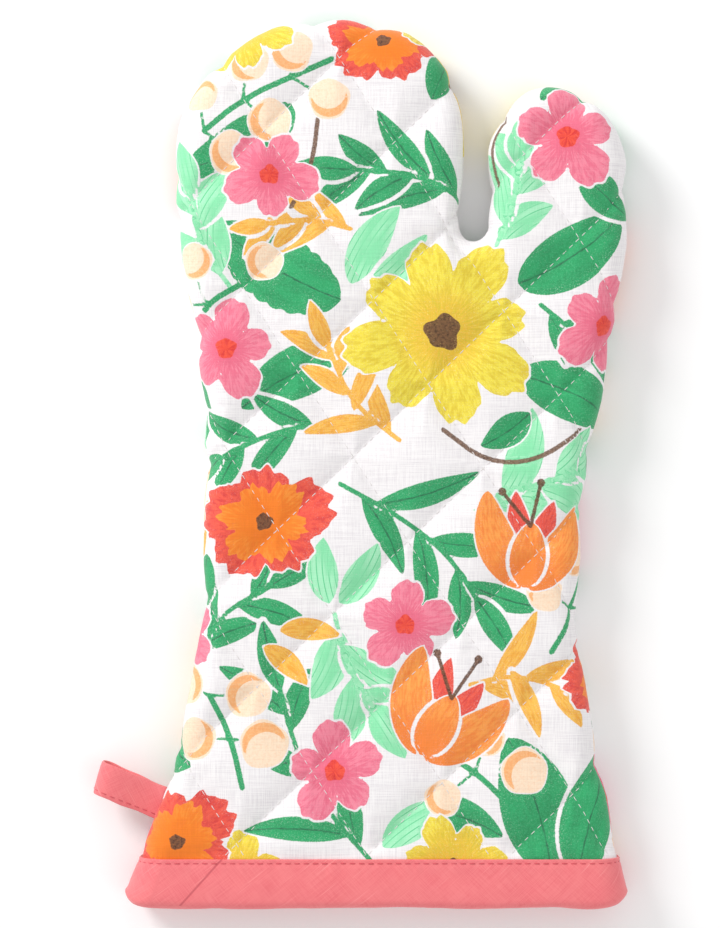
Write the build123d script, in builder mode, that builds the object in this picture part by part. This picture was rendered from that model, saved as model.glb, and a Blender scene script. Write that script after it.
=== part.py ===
from build123d import *
import os
from math import cos, radians, sin, sqrt

# A quilted oven mitt lying flat on its back, thumb towards +X, fingertips towards +Y.
# The origin is the middle of the underside's box, with Z = 0 on the surface it lies on.
# Each panel is three layers: printed outer cloth, batting and lining. A mitt's cloth is one
# piece from cuff to tip. It is parted here at the two fold lines, so that each part can turn.

# ---- Driving dimensions, mm ----
CUFF_Y = -165.0            # the cuff's edge
FINGERTIP_Y = 165.0
THICKNESS = 22.0           # over both panels, empty and flat
EDGE_RADIUS = 10.4         # rounding of the side edges
CLOTH = 0.6
BATTING = 4.5
BINDING_WIDTH = 18.5       # the part of the bias tape that shows on each side
BINDING = 0.9              # the tape's thickness, folded under
CUFF_BATTING = 3.3         # the batting is pressed thinner under the binding
THREAD_WIDTH = 0.5
THREAD_DEPTH = 0.3
TOPSTITCH_INSET = 1.5      # from the binding's upper edge to the stitch row

QUILT_STEEP_ANGLE = -57.0  # direction of the first family of rows, degrees from +X
QUILT_STEEP_PITCH = 38.0
QUILT_STEEP_OFFSET = -1.6  # distance of one row from the origin
QUILT_FLAT_ANGLE = 44.0    # direction of the second family
QUILT_FLAT_PITCH = 36.5
QUILT_FLAT_OFFSET = 3.6

FINGER_FOLD_Y = 88.0       # the line across which the fingers fold
CROTCH_X = 42.3            # middle of the notch between fingers and thumb
THUMB_FOLD_ANGLE = -15.0   # direction of the thumb's fold line, degrees from +X

LOOP_SEAM = (-76.0, -126.2)  # where the loop's middle leaves the side seam
LOOP_ANGLE = 157.0           # the strap's direction away from the mitt, degrees from +X
LOOP_SEAM_ANGLE = 254.0      # the seam's direction there, towards the cuff
LOOP_WIDTH = 12.6
LOOP_LENGTH = 24.3           # from the seam to the fold at its end
LOOP_EYE_RADIUS = 3.8
LOOP_EYE_START = 4.4         # the eye narrows to a point this far outside the seam
LOOP_EYE_TIP = 0.3           # radius of the eye's narrow end
STRAP = 1.2                  # thickness of the strap, two layers of cloth
LOOP_HINGE = 2.0             # the strap turns this far outside the seam
LOOP_ENDS_DEPTH = 6.0        # length of the strap's ends inside the seam
LOOP_SLOT_OUT = 2.0          # their slot is cut from this far outside the seam
TACK_RADIUS = 0.35           # the stitches through the strap's ends
TACK_COUNT = 5
IN_LINE = 0.01               # degrees, within which two anchors are joined by a line

# Anchors of the outline from the cuff's left corner round to its right corner: x, y and
# heading in degrees. Each pair is joined by two arcs, tangent at the anchors and to each other.
OUTLINE = [
    (-88.5, CUFF_Y, 72),
    (-67.1, -96.0, 75),
    (-58.8, -19.0, 90),
    (-64.7, 62.0, 100),
    (-70.5, 105.0, 90),
    (-57.5, 145.0, 49),
    (-13.0, FINGERTIP_Y, 0),
    (30.0, 149.5, -50),
    (38.2, 120.5, -90),
    (38.2, 98.0, -90),
    (42.2, 83.0, 0),
    (46.2, 98.0, 90),
    (46.2, 110.0, 90),
    (50.4, 127.5, 58),
    (70.5, 139.4, 0),
    (90.5, 131.3, -40),
    (99.3, 98.0, -90),
    (93.0, 40.0, -102),
    (81.2, -46.0, -90),
    (98.9, CUFF_Y, -81),
]

MID = THICKNESS / 2
BINDING_TOP = CUFF_Y + BINDING_WIDTH
BIG = 400.0                # larger than the mitt, for cutting regions
TAIL = 20.0                # the envelopes run on past the cuff and are cut there


def ahead(x, y, heading, length):
    """The point at a length from x, y along a heading in degrees."""
    return (x + length * cos(radians(heading)), y + length * sin(radians(heading)))


def arc_pair(start, end):
    """The two tangent arcs between two anchors, or a line where they are in line."""
    start_point = Vector(start[0], start[1])
    end_point = Vector(end[0], end[1])
    start_dir = Vector(*ahead(0, 0, start[2], 1))
    end_dir = Vector(*ahead(0, 0, end[2], 1))
    chord = end_point - start_point
    if start[2] == end[2] and chord.get_angle(start_dir) < IN_LINE:
        Line(start_point, end_point)
        return
    both = chord.dot(start_dir + end_dir)
    turn = 2 * (1 - start_dir.dot(end_dir))
    reach = (sqrt(both**2 + turn * chord.dot(chord)) - both) / turn
    start_handle = start_point + start_dir * reach
    end_handle = end_point - end_dir * reach
    middle = (start_handle + end_handle) / 2
    TangentArc(start_point, middle, tangent=start_dir)
    TangentArc(middle, end_point, tangent=end_handle - start_handle)


def envelope(inset):
    """The mitt's closed outer form, moved inwards by inset all round."""
    first = OUTLINE[0]
    last = OUTLINE[-1]
    first_tail = ahead(first[0], first[1], first[2], -TAIL)
    last_tail = ahead(last[0], last[1], last[2], TAIL)
    with BuildPart() as body:
        with BuildSketch(Plane.XY.offset(inset)):
            with BuildLine():
                Line(first_tail, first[:2])
                for here, there in zip(OUTLINE, OUTLINE[1:]):
                    arc_pair(here, there)
                Line(last[:2], last_tail)
                Line(last_tail, first_tail)
            make_face()
            if inset > 0:
                offset(amount=-inset)
        extrude(amount=THICKNESS - 2 * inset)
        rims = body.edges().group_by(Axis.Z)[0] + body.edges().group_by(Axis.Z)[-1]
        side_rims = rims.filter_by(lambda e: e.center().Y > CUFF_Y - TAIL / 2)
        fillet(side_rims, radius=EDGE_RADIUS - inset)
    return body.part


def band(low_y, high_y):
    """A block across the whole mitt between two heights along it."""
    with BuildPart(Plane((0, (low_y + high_y) / 2, MID))) as block:
        Box(BIG, high_y - low_y, 2 * THICKNESS)
    return block.part


def skin(outer, inner, low_y, high_y):
    """The space between two envelopes, within a band."""
    with BuildPart() as layer:
        add(envelopes[outer])
        add(envelopes[inner], mode=Mode.SUBTRACT)
        add(band(low_y, high_y), mode=Mode.INTERSECT)
    return layer.part


def prism(points, low_z, high_z):
    """An upright block over a polygon, between two heights."""
    with BuildPart() as block:
        with BuildSketch(Plane.XY.offset(low_z)):
            with BuildLine():
                Polyline(*points, close=True)
            make_face()
        extrude(amount=high_z - low_z)
    return block.part


def rows(angle, pitch, first_offset):
    """Thin upright blades along one family of quilting rows."""
    count = int(BIG / pitch)
    with BuildPart() as blades:
        for step in range(-count, count + 1):
            distance = first_offset + step * pitch
            middle = ahead(0, 0, angle + 90, distance)
            with Locations(Location((middle[0], middle[1], MID), (0, 0, angle))):
                Box(2 * BIG, THREAD_WIDTH, 2 * THICKNESS)
    return blades.part


# ---- Layer depths, measured inwards from the outer surface ----
cloth_in = CLOTH
batting_in = CLOTH + BATTING
lining_in = CLOTH + BATTING + CLOTH
cuff_cloth_out = BINDING
cuff_cloth_in = BINDING + CLOTH
cuff_batting_in = cuff_cloth_in + CUFF_BATTING
cuff_lining_in = cuff_batting_in + CLOTH
cuff_inner = cuff_lining_in + BINDING

depths = [0, THREAD_DEPTH, cloth_in, cloth_in + THREAD_WIDTH, batting_in, lining_in]
depths += [cuff_cloth_out, cuff_cloth_in, cuff_batting_in, cuff_lining_in, cuff_inner]
envelopes = {depth: envelope(depth) for depth in depths}

FAR_Y = FINGERTIP_Y + TAIL
STEP_Y = BINDING_TOP + CLOTH   # the layers step inwards here, to pass under the binding
HEM_Y = CUFF_Y + BINDING       # the layers end here, against the binding's fold

# ---- Whole layers, before they are parted ----
with BuildPart() as cloth:
    add(skin(0, cloth_in, STEP_Y, FAR_Y))
    add(skin(0, cuff_cloth_in, BINDING_TOP, STEP_Y))
    add(skin(cuff_cloth_out, cuff_cloth_in, HEM_Y, BINDING_TOP))

with BuildPart() as batting:
    add(skin(cloth_in, batting_in, STEP_Y, FAR_Y))
    add(skin(cuff_cloth_in, cuff_batting_in, HEM_Y, STEP_Y))

with BuildPart() as lining:
    add(skin(batting_in, lining_in, STEP_Y, FAR_Y))
    add(skin(cuff_batting_in, lining_in, BINDING_TOP, STEP_Y))
    add(skin(cuff_batting_in, cuff_lining_in, HEM_Y, BINDING_TOP))

with BuildPart() as quilting:
    add(rows(QUILT_STEEP_ANGLE, QUILT_STEEP_PITCH, QUILT_STEEP_OFFSET))
    add(rows(QUILT_FLAT_ANGLE, QUILT_FLAT_PITCH, QUILT_FLAT_OFFSET))
    add(skin(0, THREAD_DEPTH, STEP_Y, FAR_Y), mode=Mode.INTERSECT)

with BuildPart() as seam:
    add(skin(cloth_in, cloth_in + THREAD_WIDTH, STEP_Y, FAR_Y))
    with Locations((0, 0, MID)):
        Box(BIG, BIG, THREAD_WIDTH, mode=Mode.INTERSECT)

# ---- Hanging loop ----
# The strap's side view: a teardrop eye whose two sides meet at the seam.
loop_plane = Plane(
    origin=(LOOP_SEAM[0], LOOP_SEAM[1], MID),
    x_dir=(cos(radians(LOOP_ANGLE)), sin(radians(LOOP_ANGLE)), 0),
    z_dir=(sin(radians(LOOP_ANGLE)), -cos(radians(LOOP_ANGLE)), 0),
)
seam_dir = Vector(cos(radians(LOOP_SEAM_ANGLE)), sin(radians(LOOP_SEAM_ANGLE)), 0)
eye_centre = LOOP_LENGTH - STRAP - LOOP_EYE_RADIUS

with BuildPart() as hanging_loop:
    with BuildSketch(loop_plane) as loop_side:
        with Locations((eye_centre, 0)):
            Circle(LOOP_EYE_RADIUS + STRAP)
        with Locations((LOOP_HINGE, 0)):
            Circle(STRAP)
        make_hull()
    extrude(amount=LOOP_WIDTH / 2, dir=seam_dir)
    extrude(loop_side.sketch, amount=LOOP_WIDTH / 2, dir=-seam_dir)
    with BuildSketch(loop_plane) as eye:
        with Locations((eye_centre, 0)):
            Circle(LOOP_EYE_RADIUS)
        with Locations((LOOP_EYE_START, 0)):
            Circle(LOOP_EYE_TIP)
        make_hull()
    extrude(eye.sketch, amount=LOOP_WIDTH, dir=seam_dir, mode=Mode.SUBTRACT)
    extrude(eye.sketch, amount=LOOP_WIDTH, dir=-seam_dir, mode=Mode.SUBTRACT)
hanging_loop.part.label = "hanging_loop"
export_step(hanging_loop.part, "parts/hanging_loop.step")

# The strap's two ends, sewn into the side seam.
with BuildPart() as loop_tab:
    with BuildSketch(loop_plane) as tab_side:
        with Locations((-LOOP_ENDS_DEPTH / 2, 0)):
            Rectangle(LOOP_ENDS_DEPTH, 2 * STRAP)
    extrude(amount=LOOP_WIDTH / 2, dir=seam_dir)
    extrude(tab_side.sketch, amount=LOOP_WIDTH / 2, dir=-seam_dir)

# The slot they fill in the palm's layers, open to the outside.
with BuildPart() as loop_slot:
    with BuildSketch(loop_plane) as slot_side:
        with Locations(((LOOP_SLOT_OUT - LOOP_ENDS_DEPTH) / 2, 0)):
            Rectangle(LOOP_SLOT_OUT + LOOP_ENDS_DEPTH, 2 * STRAP)
    extrude(amount=LOOP_WIDTH / 2, dir=seam_dir)
    extrude(slot_side.sketch, amount=LOOP_WIDTH / 2, dir=-seam_dir)

with BuildPart() as loop_tack_thread:
    with BuildSketch(Plane.XY.offset(MID - STRAP)):
        for number in range(TACK_COUNT):
            along = LOOP_WIDTH * ((number + 0.5) / TACK_COUNT - 0.5)
            on_seam = ahead(LOOP_SEAM[0], LOOP_SEAM[1], LOOP_SEAM_ANGLE, along)
            with Locations(ahead(on_seam[0], on_seam[1], LOOP_ANGLE, -LOOP_ENDS_DEPTH / 2)):
                Circle(TACK_RADIUS)
    extrude(amount=2 * STRAP)
loop_tack_thread.part.label = "loop_tack_thread"
export_step(loop_tack_thread.part, "parts/loop_tack_thread.step")

with BuildPart() as loop_ends:
    add(loop_tab.part)
    add(loop_tack_thread.part, mode=Mode.SUBTRACT)
loop_ends.part.label = "loop_ends"
export_step(loop_ends.part, "parts/loop_ends.step")

# ---- Cuff binding ----
# Bias tape folded over the cuff's edge: an outer leg, the fold, and an inner leg.
with BuildPart() as binding_topstitch:
    stitch_y = BINDING_TOP - TOPSTITCH_INSET
    add(skin(0, THREAD_DEPTH, stitch_y - THREAD_WIDTH, stitch_y))
binding_topstitch.part.label = "binding_topstitch"
export_step(binding_topstitch.part, "parts/binding_topstitch.step")

with BuildPart() as cuff_binding:
    add(skin(0, cuff_cloth_out, HEM_Y, BINDING_TOP))
    add(skin(0, cuff_inner, CUFF_Y, HEM_Y))
    add(skin(cuff_lining_in, cuff_inner, HEM_Y, BINDING_TOP))
    add(binding_topstitch.part, mode=Mode.SUBTRACT)
cuff_binding.part.label = "cuff_binding"
export_step(cuff_binding.part, "parts/cuff_binding.step")

# ---- The layers, parted at the fold lines and at the mid-plane ----
thumb_end = ahead(CROTCH_X, FINGER_FOLD_Y, THUMB_FOLD_ANGLE, BIG)
crotch = (CROTCH_X, FINGER_FOLD_Y)
plans = {
    "palm": [(-BIG, -BIG), (-BIG, FINGER_FOLD_Y), crotch, thumb_end, (thumb_end[0], -BIG)],
    "finger": [(-BIG, FINGER_FOLD_Y), (-BIG, BIG), (CROTCH_X, BIG), crotch],
    "thumb": [crotch, (CROTCH_X, BIG), (thumb_end[0], BIG), thumb_end],
}
halves = {"front": (MID, 2 * THICKNESS), "back": (-THICKNESS, MID)}

for place, plan_points in plans.items():
    for side, (low_z, high_z) in halves.items():
        region = prism(plan_points, low_z, high_z)

        with BuildPart() as thread_piece:
            add(quilting.part)
            add(region, mode=Mode.INTERSECT)
        thread_piece.part.label = f"{place}_{side}_quilting_thread"
        export_step(thread_piece.part, f"parts/{place}_{side}_quilting_thread.step")

        with BuildPart() as cloth_piece:
            add(cloth.part)
            add(region, mode=Mode.INTERSECT)
            if place == "palm":
                add(loop_slot.part, mode=Mode.SUBTRACT)
        cloth_piece.part.label = f"{place}_{side}_cloth"
        export_step(cloth_piece.part, f"parts/{place}_{side}_cloth.step")

        with BuildPart() as batting_piece:
            add(batting.part)
            add(region, mode=Mode.INTERSECT)
            add(seam.part, mode=Mode.SUBTRACT)
            if place == "palm":
                add(loop_slot.part, mode=Mode.SUBTRACT)
        batting_piece.part.label = f"{place}_{side}_batting"
        export_step(batting_piece.part, f"parts/{place}_{side}_batting.step")

        with BuildPart() as lining_piece:
            add(lining.part)
            add(region, mode=Mode.INTERSECT)
            if place == "palm":
                add(loop_slot.part, mode=Mode.SUBTRACT)
        lining_piece.part.label = f"{place}_{side}_lining"
        export_step(lining_piece.part, f"parts/{place}_{side}_lining.step")

    with BuildPart() as seam_piece:
        add(seam.part)
        add(prism(plan_points, -THICKNESS, 2 * THICKNESS), mode=Mode.INTERSECT)
        if place == "palm":
            add(loop_slot.part, mode=Mode.SUBTRACT)
    seam_piece.part.label = f"{place}_seam_thread"
    export_step(seam_piece.part, f"parts/{place}_seam_thread.step")
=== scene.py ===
import math

import bpy
import numpy as np
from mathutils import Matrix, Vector, geometry


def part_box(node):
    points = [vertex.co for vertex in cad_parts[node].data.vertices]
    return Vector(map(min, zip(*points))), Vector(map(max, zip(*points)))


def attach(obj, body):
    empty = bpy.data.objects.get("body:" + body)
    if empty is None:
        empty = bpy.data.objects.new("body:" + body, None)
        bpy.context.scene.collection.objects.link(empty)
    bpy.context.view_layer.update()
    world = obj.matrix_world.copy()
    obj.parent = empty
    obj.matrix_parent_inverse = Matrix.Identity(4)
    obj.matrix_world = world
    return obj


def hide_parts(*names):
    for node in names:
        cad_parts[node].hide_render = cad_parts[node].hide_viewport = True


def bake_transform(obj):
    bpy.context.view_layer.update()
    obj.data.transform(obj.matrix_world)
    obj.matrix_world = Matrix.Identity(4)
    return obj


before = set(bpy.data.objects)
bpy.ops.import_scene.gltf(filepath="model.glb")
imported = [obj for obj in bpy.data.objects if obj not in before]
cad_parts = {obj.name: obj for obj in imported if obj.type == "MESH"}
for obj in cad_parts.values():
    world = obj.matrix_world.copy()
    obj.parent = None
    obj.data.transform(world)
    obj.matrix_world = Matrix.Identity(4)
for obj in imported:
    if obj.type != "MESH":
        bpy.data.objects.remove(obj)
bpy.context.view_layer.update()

MM = 0.001

# ---- Sizes, in millimetres, from the frame ----
CUFF_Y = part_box("cuff_binding")[0][1] / MM
BINDING_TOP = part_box("cuff_binding")[1][1] / MM
FINGERTIP_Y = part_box("finger_front_cloth")[1][1] / MM
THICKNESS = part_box("cuff_binding")[1][2] / MM
MID = THICKNESS / 2
EDGE_RADIUS = 10.4           # rounding of the side edges
SIDE_BAND = MID - EDGE_RADIUS
CLOTH = 0.6
BATTING_DEPTH = 5.1          # from the outer surface to the lining
LINING_DEPTH = 5.7

# The outline's anchors: x, y and heading in degrees. Each pair is joined by two tangent arcs.
OUTLINE = [
    (-88.5, CUFF_Y, 72), (-67.1, -96.0, 75), (-58.8, -19.0, 90), (-64.7, 62.0, 100),
    (-70.5, 105.0, 90), (-57.5, 145.0, 49), (-13.0, FINGERTIP_Y, 0), (30.0, 149.5, -50),
    (38.2, 120.5, -90), (38.2, 98.0, -90), (42.2, 83.0, 0), (46.2, 98.0, 90),
    (46.2, 110.0, 90), (50.4, 127.5, 58), (70.5, 139.4, 0), (90.5, 131.3, -40),
    (99.3, 98.0, -90), (93.0, 40.0, -102), (81.2, -46.0, -90), (98.9, CUFF_Y, -81),
]
TAIL = 6.0                   # the outline runs on past the cuff's edge by this much
CROTCH = np.array([42.2, 83.0])
THUMB_OUT = np.array([0.258819, 0.965926])   # from the thumb's fold line to its tip
BEND_GAP = 3.0               # the stretch handed to bend() starts this far past the lines that part the pieces
FINGER_BEND = 46.0           # length of the stretch handed to bend()
THUMB_BEND = 34.0

# Quilting rows: direction in degrees, pitch, and one row's distance from the origin.
QUILT = [(-57.0, 38.0, -1.6), (44.0, 36.5, 3.6)]
STITCH_PITCH = 3.3
STITCH_LENGTH = 2.1

SIDES = {"front": 1.0, "back": -1.0}     # the sign of each panel's z, from the mid-plane
SEEDS = {"front": 11, "back": 29}        # of each panel's creases
PLACES = ("palm", "finger", "thumb")


# ---- Small mathematical helpers ----
def heading(degrees):
    """A unit vector in a direction."""
    return np.array([math.cos(math.radians(degrees)), math.sin(math.radians(degrees))])


def smooth(x, low, high):
    """0 up to low, 1 from high on, and a smooth step between them."""
    t = np.clip((x - low) / (high - low), 0, 1)
    return t * t * (3 - 2 * t)


def hashed(i, j, seed):
    """A repeatable value from 0 to 1 for each whole-numbered place."""
    n = np.sin(i * 127.1 + j * 311.7 + seed * 74.7) * 43758.5453
    return n - np.floor(n)


def noise2(x, y, seed=0):
    """Smooth value noise from -1 to 1."""
    i, j = np.floor(x), np.floor(y)
    fx, fy = x - i, y - j
    fx, fy = fx * fx * (3 - 2 * fx), fy * fy * (3 - 2 * fy)
    a, b = hashed(i, j, seed), hashed(i + 1, j, seed)
    c, d = hashed(i, j + 1, seed), hashed(i + 1, j + 1, seed)
    return 2 * ((a * (1 - fx) + b * fx) * (1 - fy) + (c * (1 - fx) + d * fx) * fy) - 1


# ---- The outline ----
def biarc(start, end):
    """Two tangent arcs as (start point, heading vector, signed radius or None, length)."""
    p0, p1 = np.array(start[:2], float), np.array(end[:2], float)
    t0, t1 = heading(start[2]), heading(end[2])
    chord = p1 - p0
    turn = 2 * (1 - t0 @ t1)
    if turn < 1e-9:
        return [(p0, t0, None, float(np.linalg.norm(chord)))]
    both = chord @ (t0 + t1)
    reach = (math.sqrt(both**2 + turn * (chord @ chord)) - both) / turn
    q0, q1 = p0 + t0 * reach, p1 - t1 * reach
    middle = (q0 + q1) / 2
    tm = (q1 - q0) / np.linalg.norm(q1 - q0)
    arcs = []
    for a, t, b in ((p0, t0, middle), (middle, tm, p1)):
        c = b - a
        side = t[0] * c[1] - t[1] * c[0]
        radius = (c @ c) / (2 * side)
        angle = 2 * math.atan2(side, t @ c)
        arcs.append((a, t, radius, abs(radius * angle)))
    return arcs


TIGHT_RADIUS = 50.0          # left turns tighter than this get closer points


def outline(step):
    """Points along the outline and the inward normals there, cuff's left corner first."""
    found = []                               # each point with the outline's direction there
    first, last = OUTLINE[0], OUTLINE[-1]
    t = heading(first[2])
    for k in range(int(TAIL / step), 0, -1):
        found.append((np.array(first[:2]) - t * step * k, t))
    for start, end in zip(OUTLINE, OUTLINE[1:]):
        for a, t, radius, length in biarc(start, end):
            fine = step
            if radius and 0 < radius < TIGHT_RADIUS:
                fine = step * radius / (radius + EDGE_RADIUS)
            count = max(2, math.ceil(length / fine))
            for k in range(count):
                s = length * k / count
                if radius is None:
                    direction, p = t, a + t * s
                else:
                    angle = s / radius
                    c, w = math.cos(angle), math.sin(angle)
                    direction = np.array([t[0] * c - t[1] * w, t[0] * w + t[1] * c])
                    left = np.array([-t[1], t[0]])
                    p = a + radius * (t * w + left * (1 - c))
                found.append((p, direction))
    t = heading(last[2])
    for k in range(int(TAIL / step) + 1):
        found.append((np.array(last[:2]) + t * step * k, t))
    points, directions = (np.array(column) for column in zip(*found))
    return points, np.column_stack([directions[:, 1], -directions[:, 0]])


EDGE_P, EDGE_N = outline(0.8)


def edge_distance(p, batch=4000):
    """Distance to the outline and the nearest outline sample, for many points."""
    distance = np.empty(len(p))
    nearest = np.empty(len(p), int)
    for k in range(0, len(p), batch):
        part = slice(k, k + batch)
        d2 = ((p[part, None, :] - EDGE_P[None]) ** 2).sum(2)
        nearest[part] = d2.argmin(1)
        distance[part] = np.sqrt(d2.min(1))
    return distance, nearest


def inside(p, polygon):
    """Which points lie inside a polygon."""
    result = np.zeros(len(p), bool)
    x, y = p[:, 0], p[:, 1]
    for a, b in zip(polygon, np.roll(polygon, -1, axis=0)):
        crosses = (a[1] > y) != (b[1] > y)
        with np.errstate(divide="ignore", invalid="ignore"):
            at = a[0] + (y - a[1]) * (b[0] - a[0]) / (b[1] - a[1])
        result ^= crosses & (x < at)
    return result


def region_of(p):
    """The place that each point belongs to, on its side of the fold lines."""
    thumb = (p[:, 0] >= CROTCH[0]) & ((p - CROTCH) @ THUMB_OUT > 0)
    finger = (p[:, 0] < CROTCH[0]) & (p[:, 1] > CROTCH[1])
    return np.where(thumb, "thumb", np.where(finger, "finger", "palm"))


# ---- The plan: one triangulation of the mitt, used for every layer ----
LATTICE_REACH = 100.0        # the field of points is cut from one this wide each way
LATTICE_ROW = 0.866          # its rows' pitch, as a share of the step, for even triangles
PANEL_START = 2.5            # the panels start this far inside the binding's fold
PLAN_TO_ARC = EDGE_RADIUS * (math.pi / 2 - 1)    # the rounded edge is this much longer than its plan


class Plan:
    """Rings over the rounded side edge, then an even field of points inside them."""

    def __init__(self, step, rings):
        p, n = outline(step)
        count = len(p)
        angles = np.linspace(0, math.pi / 2, rings + 1)
        inner = p + n * EDGE_RADIUS
        grid = self.lattice(step, inner)
        triangles = self.fill(inner, grid)
        # The first ring lies on the mid-plane, below the others' straight band.
        above = len(grid) + (rings + 1) * count
        self.p = np.vstack([p] * (rings + 2) + [grid])
        self.n = np.vstack([n] * (rings + 2) + [np.zeros_like(grid)])
        over = np.full(len(grid), math.pi / 2)
        self.angle = np.concatenate([np.zeros(count), np.repeat(angles, count), over])
        self.lift = np.concatenate([np.zeros(count), np.full(above, SIDE_BAND)])
        self.ring = (self.n**2).sum(1) > 0
        faces = []
        for ring in range(rings + 1):
            a = ring * count + np.arange(count - 1)
            b = a + count
            faces.append(np.stack([a, b, a + 1], 1))
            faces.append(np.stack([a + 1, b, b + 1], 1))
        faces = np.vstack([*faces, triangles + (rings + 1) * count])
        self.flat = self.place(0)[:, :2]
        # Cloth coordinates: the cloth's own length over the rounded edge, not its plan.
        out = EDGE_RADIUS * (math.pi / 2 - self.angle) + (SIDE_BAND - self.lift)
        over_edge = self.p + self.n * (EDGE_RADIUS - out[:, None])
        self.cloth = np.where(self.ring[:, None], over_edge, self.p)
        distance, _ = edge_distance(self.flat)
        arc = EDGE_RADIUS * self.angle + self.lift
        self.seam = np.where(self.ring, arc, distance + PLAN_TO_ARC)
        centre = self.flat[faces].mean(1)
        kept = centre[:, 1] > CUFF_Y + PANEL_START
        self.faces = faces[kept]
        places = region_of(centre[kept])
        self.region = {place: places == place for place in PLACES}

    @staticmethod
    def lattice(step, inner):
        """An even field of points inside the rings."""
        rows = []
        for k, y in enumerate(np.arange(CUFF_Y - TAIL, FINGERTIP_Y, step * LATTICE_ROW)):
            xs = np.arange(-LATTICE_REACH, LATTICE_REACH + 5, step) + (k % 2) * step / 2
            rows.append(np.stack([xs, np.full(len(xs), y)], 1))
        grid = np.vstack(rows)
        distance, _ = edge_distance(grid)
        low = max(inner[0][1], inner[-1][1]) + 0.5 * step
        return grid[(distance > EDGE_RADIUS + 0.6 * step) & inside(grid, inner) & (grid[:, 1] > low)]

    @staticmethod
    def fill(inner, grid):
        """Triangles between the innermost ring and the field, all turning the same way."""
        points = np.vstack([inner, grid])
        count = len(inner)
        edges = [(i, (i + 1) % count) for i in range(count)]
        mesh = geometry.delaunay_2d_cdt([Vector(v) for v in points], edges, [], 0, 1e-5, True)
        source = [ids[0] for ids in mesh[3]]
        triangles = np.array([[source[i] for i in f] for f in mesh[2] if len(f) == 3])
        triangles = triangles[inside(points[triangles].mean(1), inner)]
        a, b, c = (points[triangles[:, k]] for k in range(3))
        turn = (b - a)[:, 0] * (c - a)[:, 1] - (b - a)[:, 1] * (c - a)[:, 0]
        triangles[turn < 0] = triangles[turn < 0][:, ::-1]
        return triangles

    def place(self, inset):
        """x, y and height above the mid-plane of every point, at a depth under the surface."""
        radius = EDGE_RADIUS - inset
        depth = inset + radius * (1 - np.cos(self.angle))
        xy = self.p + self.n * depth[:, None]
        height = self.lift + radius * np.sin(self.angle)
        return np.column_stack([xy, np.where(self.ring, height, SIDE_BAND + radius)])

    def normal(self):
        """The outward normal at every point, before the swelling."""
        flat = -self.n * np.cos(self.angle)[:, None]
        return np.column_stack([flat, np.sin(self.angle)])


def row_distance(p):
    """Distance to the nearest quilting row, and the place along it."""
    best = np.full(len(p), 1e9)
    along = np.zeros(len(p))
    for angle, pitch, offset in QUILT:
        across = (p @ heading(angle + 90) - offset) / pitch
        d = np.abs(across - np.round(across)) * pitch
        s = p @ heading(angle) + 57.0 * np.round(across)
        along = np.where(d < best, s, along)
        best = np.minimum(best, d)
    return best, along


UNDER_BINDING = 0.85         # the cloth lies this deep where the binding covers it
PUFF = 2.9                   # how far the batting swells between rows
PUFF_LEVEL = 0.78            # the share of the puff that lies under the plain form
ROW_REACH = 6.6              # distance from a row over which the puff rises
SEAM_PULL = 0.40             # how much the side seam holds the puff down
SEAM_REACH = 4.0
GROOVE = 0.42                # depth of the stitches' own groove
SEAM_GROOVE = 1.2
ROW_PUCKER = 0.30            # heights of the puckers and of the slow and quick waves
SEAM_PUCKER = 0.22
SLOW_WAVE = 0.35
QUICK_WAVE = 0.12


def swell(p, seam, seed):
    """How far the outer cloth stands off its plain form, from the quilting and the seams."""
    d, along = row_distance(p)
    x, y = p[:, 0], p[:, 1]
    puff = 1 - np.exp(-((d / ROW_REACH) ** 1.45))
    puff *= 1 - SEAM_PULL * np.exp(-((seam / SEAM_REACH) ** 1.2))
    h = PUFF * (puff - PUFF_LEVEL)
    h -= GROOVE * np.exp(-((d / 1.1) ** 2))
    pucker = noise2(along / 3.6, d / 9.0, seed) + 0.6 * noise2(along / 1.9, d / 5.0, seed + 3)
    h += ROW_PUCKER * pucker * np.exp(-d / 4.5) * smooth(d, 0.2, 1.6)
    h += SEAM_PUCKER * noise2(x / 3.3, y / 3.3, seed + 5) * np.exp(-seam / SEAM_REACH)
    h += SLOW_WAVE * noise2(x / 31.0, y / 37.0, seed + 7)
    h += QUICK_WAVE * noise2(x / 9.0, y / 8.0, seed + 9)
    h -= SEAM_GROOVE * np.exp(-((seam / 1.1) ** 2))
    free = smooth(y, BINDING_TOP - 1.0, BINDING_TOP + 6.0)
    return h * free - UNDER_BINDING * (1 - free)


FLOOR_GAP = 0.12             # the cloth stays this far above the floor
STITCH_FLOOR = 0.25          # a stitch's middle stays this far above it


def layer(plan, side, inset, share=1.0):
    """Positions in mm of one surface of a panel, at a depth, with a share of the swelling."""
    h = swell(plan.flat, plan.seam, SEEDS[side]) * share
    base = plan.place(inset) + plan.normal() * h[:, None]
    z = MID + SIDES[side] * base[:, 2]
    z = np.maximum(z, FLOOR_GAP + (inset if side == "back" else 0))
    y = np.maximum(base[:, 1], CUFF_Y + PANEL_START + 0.5)
    return np.column_stack([base[:, 0], y, z])


def vertex_normals(v, faces):
    """Smooth normals at the points of a triangle mesh."""
    a, b, c = v[faces[:, 0]], v[faces[:, 1]], v[faces[:, 2]]
    n = np.cross(b - a, c - a)
    total = np.zeros_like(v)
    for k in range(3):
        np.add.at(total, faces[:, k], n)
    return total / np.maximum(np.linalg.norm(total, axis=1), 1e-12)[:, None]


def new_object(name, v, faces, material, smooth_faces=True):
    """An object from points in mm."""
    mesh = bpy.data.meshes.new(name)
    mesh.from_pydata((np.asarray(v) * MM).tolist(), [], [list(map(int, f)) for f in faces])
    mesh.update()
    if smooth_faces:
        mesh.polygons.foreach_set("use_smooth", [True] * len(mesh.polygons))
    obj = bpy.data.objects.new(name, mesh)
    bpy.context.scene.collection.objects.link(obj)
    mesh.materials.append(material)
    return obj


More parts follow.
